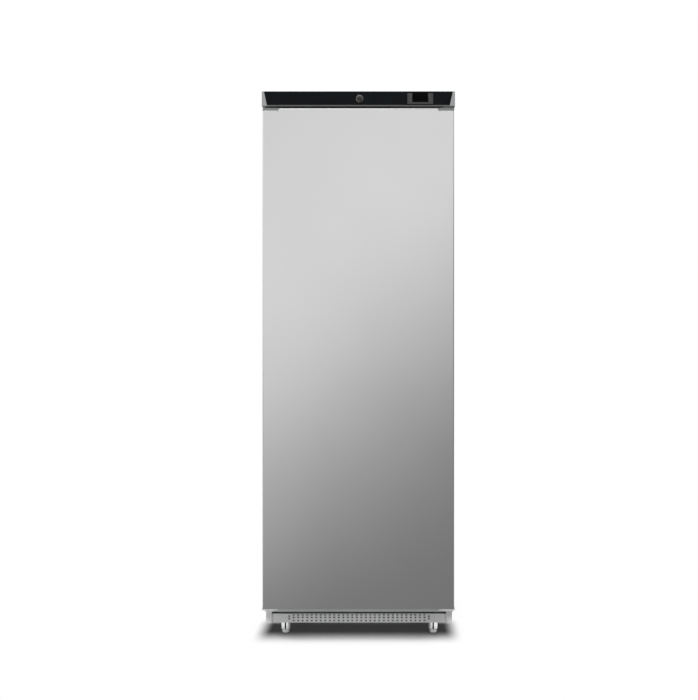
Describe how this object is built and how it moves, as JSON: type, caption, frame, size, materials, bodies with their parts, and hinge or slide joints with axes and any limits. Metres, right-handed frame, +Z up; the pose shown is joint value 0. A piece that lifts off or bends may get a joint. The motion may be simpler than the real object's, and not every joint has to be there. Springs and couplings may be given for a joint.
{
  "type": "upright freezer",
  "caption": "Upright storage freezer: one solid stainless door under a black control panel, on levelling legs, with fixed evaporator shelves inside.",
  "frame": {"origin": "middle of the footprint, on the floor", "axes": "+X to the right seen from the front, -Y out of the door's face, +Z up"},
  "size_m": [0.6, 0.6, 1.71],
  "materials": {
    "stainless_steel": "brushed stainless sheet",
    "bright_steel": "polished",
    "zinc_sheet": "galvanised sheet",
    "grey_plastic": "moulded, satin",
    "black_gloss": "gloss",
    "dark_grey_plastic": "moulded, satin",
    "display_black": "gloss",
    "white_liner": "satin",
    "frame_plastic": "extruded, satin",
    "foam": "rigid polyurethane foam, matte",
    "gasket": "soft magnetic seal",
    "rubber_black": "matte",
    "black_enamel": "gloss",
    "copper": "drawn copper pipe",
    "evaporator_enamel": "satin",
    "nylon": "moulded nylon",
    "zinc_hardware": "zinc plated"
  },
  "bodies": {
    "cabinet": {"back_panel": "zinc_sheet", "base_cross_front": "zinc_sheet", "base_rails": "zinc_sheet", "bottom_corner_plate": "stainless_steel", "bottom_hinge_bracket": "stainless_steel", "bracket_screws": "zinc_hardware", "breaker_frame": "frame_plastic", "capillary_tube": "copper", "compressor": "black_enamel", "compressor_grommets": "rubber_black", "compressor_plate": "zinc_sheet", "compressor_terminal_cover": "dark_grey_plastic", "condenser_brackets": "zinc_sheet", "condenser_coil": "black_enamel", "condenser_wires": "black_enamel", "control_fascia": "black_gloss", "control_housing": "grey_plastic", "controller_bezel": "dark_grey_plastic", "controller_case": "dark_grey_plastic", "corner_posts": "stainless_steel", "discharge_pipe": "copper", "display_window": "display_black", "evaporator_links": "evaporator_enamel", "evaporator_shelf_1": "evaporator_enamel", "evaporator_shelf_2": "evaporator_enamel", "evaporator_shelf_3": "evaporator_enamel", "evaporator_shelf_4": "evaporator_enamel", "evaporator_shelf_5": "evaporator_enamel", "filter_drier": "copper", "floor_plate": "zinc_sheet", "foam_insulation": "foam", "hinge_pins": "bright_steel", "inner_liner": "white_liner", "leg_sleeves": "bright_steel", "lock_body": "bright_steel", "plinth_grille": "stainless_steel", "shelf_supports": "nylon", "side_panels": "stainless_steel", "suction_pipe": "copper", "temperature_probe": "nylon", "top_hinge_bracket": "zinc_hardware", "top_panel": "zinc_sheet"},
    "door": {"door_bottom_cap": "grey_plastic", "door_bushes": "nylon", "door_foam": "foam", "door_gasket": "gasket", "door_grip": "grey_plastic", "door_inner_panel": "white_liner", "door_skin": "stainless_steel", "door_top_cap": "grey_plastic"},
    "lock": {"lock_barrel": "bright_steel", "lock_cam": "zinc_hardware"},
    "key_1": {"key_1": "dark_grey_plastic"},
    "key_2": {"key_2": "dark_grey_plastic"},
    "key_3": {"key_3": "dark_grey_plastic"},
    "key_4": {"key_4": "dark_grey_plastic"},
    "foot_1": {"foot_1": "bright_steel"},
    "foot_2": {"foot_2": "bright_steel"},
    "foot_3": {"foot_3": "bright_steel"},
    "foot_4": {"foot_4": "bright_steel"}
  },
  "joints": [
    {"name": "door_hinge", "type": "hinge", "parent": "cabinet", "child": "door", "pos_m": [0.283, -0.275, 0.881], "axis": [0, 0, 1], "range_deg": [0, 110]},
    {"name": "lock_turn", "type": "hinge", "parent": "cabinet", "child": "lock", "pos_m": [0.004, -0.285, 1.687], "axis": [0, 1, 0], "range_deg": [0, 90]},
    {"name": "key_1_press", "type": "slide", "parent": "cabinet", "child": "key_1", "axis": [0, 1, 0], "range_m": [0, 0.0008], "stiffness_N_per_m": 600, "springref_m": -0.001},
    {"name": "key_2_press", "type": "slide", "parent": "cabinet", "child": "key_2", "axis": [0, 1, 0], "range_m": [0, 0.0008], "stiffness_N_per_m": 600, "springref_m": -0.001},
    {"name": "key_3_press", "type": "slide", "parent": "cabinet", "child": "key_3", "axis": [0, 1, 0], "range_m": [0, 0.0008], "stiffness_N_per_m": 600, "springref_m": -0.001},
    {"name": "key_4_press", "type": "slide", "parent": "cabinet", "child": "key_4", "axis": [0, 1, 0], "range_m": [0, 0.0008], "stiffness_N_per_m": 600, "springref_m": -0.001},
    {"name": "foot_1_screw", "type": "slide", "parent": "cabinet", "child": "foot_1", "axis": [0, 0, -1], "range_m": [0, 0.02]},
    {"name": "foot_2_screw", "type": "slide", "parent": "cabinet", "child": "foot_2", "axis": [0, 0, -1], "range_m": [0, 0.02]},
    {"name": "foot_3_screw", "type": "slide", "parent": "cabinet", "child": "foot_3", "axis": [0, 0, -1], "range_m": [0, 0.02]},
    {"name": "foot_4_screw", "type": "slide", "parent": "cabinet", "child": "foot_4", "axis": [0, 0, -1], "range_m": [0, 0.02]}
  ]
}
